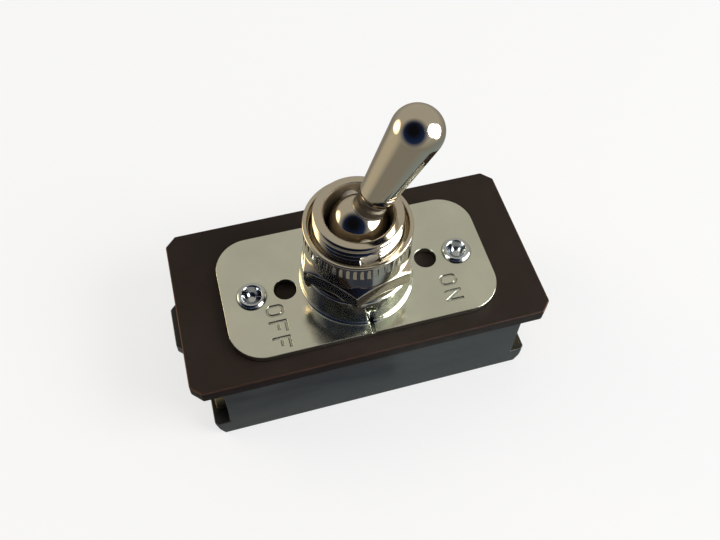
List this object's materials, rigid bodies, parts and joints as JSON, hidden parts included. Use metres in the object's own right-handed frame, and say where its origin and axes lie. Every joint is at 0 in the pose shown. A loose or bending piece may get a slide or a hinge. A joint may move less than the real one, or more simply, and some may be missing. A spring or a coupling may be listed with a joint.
{
  "type": "panel toggle switch",
  "caption": "Heavy-duty panel toggle switch with a bat lever in a threaded bushing, a steel frame, a moulded base and screw terminals.",
  "frame": {"origin": "on the bushing's axis, at the flat bottom of the moulded base", "axes": "+Z along the bushing towards the lever, +X along the switch towards its ON end, the front at -Y"},
  "size_m": [0.0526, 0.0255, 0.0487],
  "materials": {
    "moulded_base": "smooth moulded phenolic",
    "laminate": "punched phenolic laminate",
    "plated_steel": "dull plating",
    "nickel": "bright nickel plating",
    "rivet_steel": "dull plating",
    "plunger_steel": "bright steel",
    "rocker_moulding": "moulded phenolic",
    "terminal_brass": "punched strip",
    "contact_silver": "silver contact face",
    "screw_brass": "turned"
  },
  "bodies": {
    "root": {"base_housing": "moulded_base", "insulating_plate": "laminate", "frame_plate": "plated_steel", "bushing": "nickel", "pivot_pin": "nickel", "tubular_rivets": "rivet_steel", "fixed_contact_front": "contact_silver", "fixed_contact_back": "contact_silver", "contact_terminal_front": "terminal_brass", "contact_terminal_back": "terminal_brass", "fulcrum_terminal_front": "terminal_brass", "fulcrum_terminal_back": "terminal_brass", "terminal_screws": "screw_brass"},
    "toggle": {"lever": "nickel", "plunger_spring": "plunger_steel"},
    "detent": {"plunger": "plunger_steel"},
    "rocker": {"rocker_yoke": "rocker_moulding", "contact_blade_front": "terminal_brass", "contact_blade_back": "terminal_brass", "moving_contact_front": "contact_silver", "moving_contact_back": "contact_silver"},
    "backing_nut": {"hex_nut": "nickel"},
    "face_nut": {"ring_nut": "nickel"}
  },
  "joints": [
    {"name": "lever_toggle", "type": "hinge", "parent": "root", "child": "toggle", "pos_m": [0, 0, 0.0292], "axis": [0, 1, 0], "range_deg": [-45, 0]},
    {"name": "rocker_rock", "type": "hinge", "parent": "root", "child": "rocker", "pos_m": [0, 0, 0.0087], "axis": [0, 1, 0], "range_deg": [0, 16]},
    {"name": "plunger_slide", "type": "slide", "parent": "toggle", "child": "detent", "axis": [0.3827, 0, 0.9239], "range_m": [0, 0.0005], "stiffness_N_per_m": 1500, "springref_m": -0.001, "deforming": ["plunger_spring"]},
    {"name": "hex_nut_turn", "type": "hinge", "parent": "root", "child": "backing_nut", "pos_m": [0, 0, 0.023], "axis": [0, 0, 1], "continuous": true},
    {"name": "ring_nut_turn", "type": "hinge", "parent": "root", "child": "face_nut", "pos_m": [0, 0, 0.0271], "axis": [0, 0, 1], "continuous": true}
  ],
  "couplings": [
    {"joint": "rocker_rock", "follows": "lever_toggle", "ratio": -0.35555}
  ]
}
